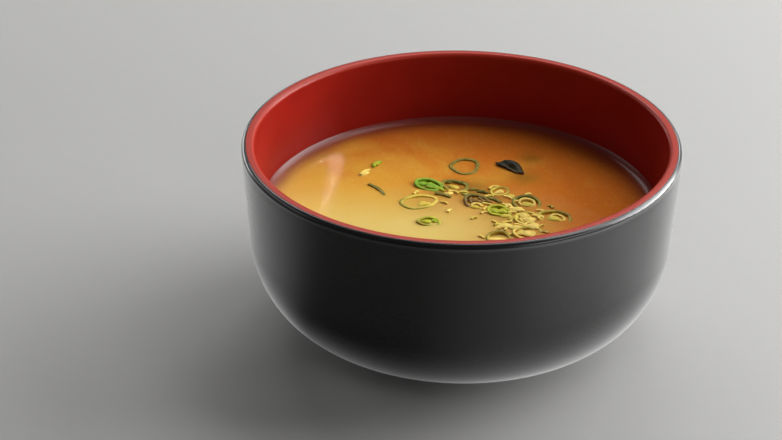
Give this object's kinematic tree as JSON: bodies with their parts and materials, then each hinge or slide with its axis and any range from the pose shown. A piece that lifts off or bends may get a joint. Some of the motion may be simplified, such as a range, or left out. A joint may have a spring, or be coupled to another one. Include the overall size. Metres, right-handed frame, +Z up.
{
  "type": "bowl of miso soup",
  "caption": "Lacquer soup bowl, black outside and red inside, filled with cloudy miso soup with floating green onion slices and a scrap of wakame.",
  "frame": {"origin": "centre of the foot ring's underside, on the surface that the bowl stands on", "axes": "+Z up along the bowl's turning axis; +Y away from the viewer, +X to the viewer's right, with the onion slices in front of and to the right of the middle"},
  "size_m": [0.128, 0.128, 0.06],
  "materials": {
    "black_lacquer": "satin black lacquer, outside",
    "red_lacquer": "glossy vermilion lacquer, inside and over the rim",
    "miso_soup": "wet, cloudy amber broth",
    "onion_green": "wet green leaf",
    "onion_pale": "wet pale stem",
    "wakame": "wet, nearly black seaweed"
  },
  "bodies": {
    "root": {"bowl": "black_lacquer", "soup": "miso_soup", "wakame": "wakame", "onion_ring_01": "onion_green", "onion_ring_02": "onion_green", "onion_ring_03": "onion_pale", "onion_ring_04": "onion_green", "onion_ring_05": "onion_green", "onion_ring_06": "onion_pale", "onion_ring_07": "onion_green", "onion_ring_08": "onion_green", "onion_ring_09": "onion_pale", "onion_ring_10": "onion_green", "onion_ring_11": "onion_green", "onion_ring_12": "onion_pale", "onion_ring_13": "onion_green", "onion_strip_01": "onion_green", "onion_strip_02": "onion_green", "onion_strip_03": "onion_green", "onion_strip_04": "onion_green", "onion_strip_05": "onion_green"}
  },
  "joints": []
}
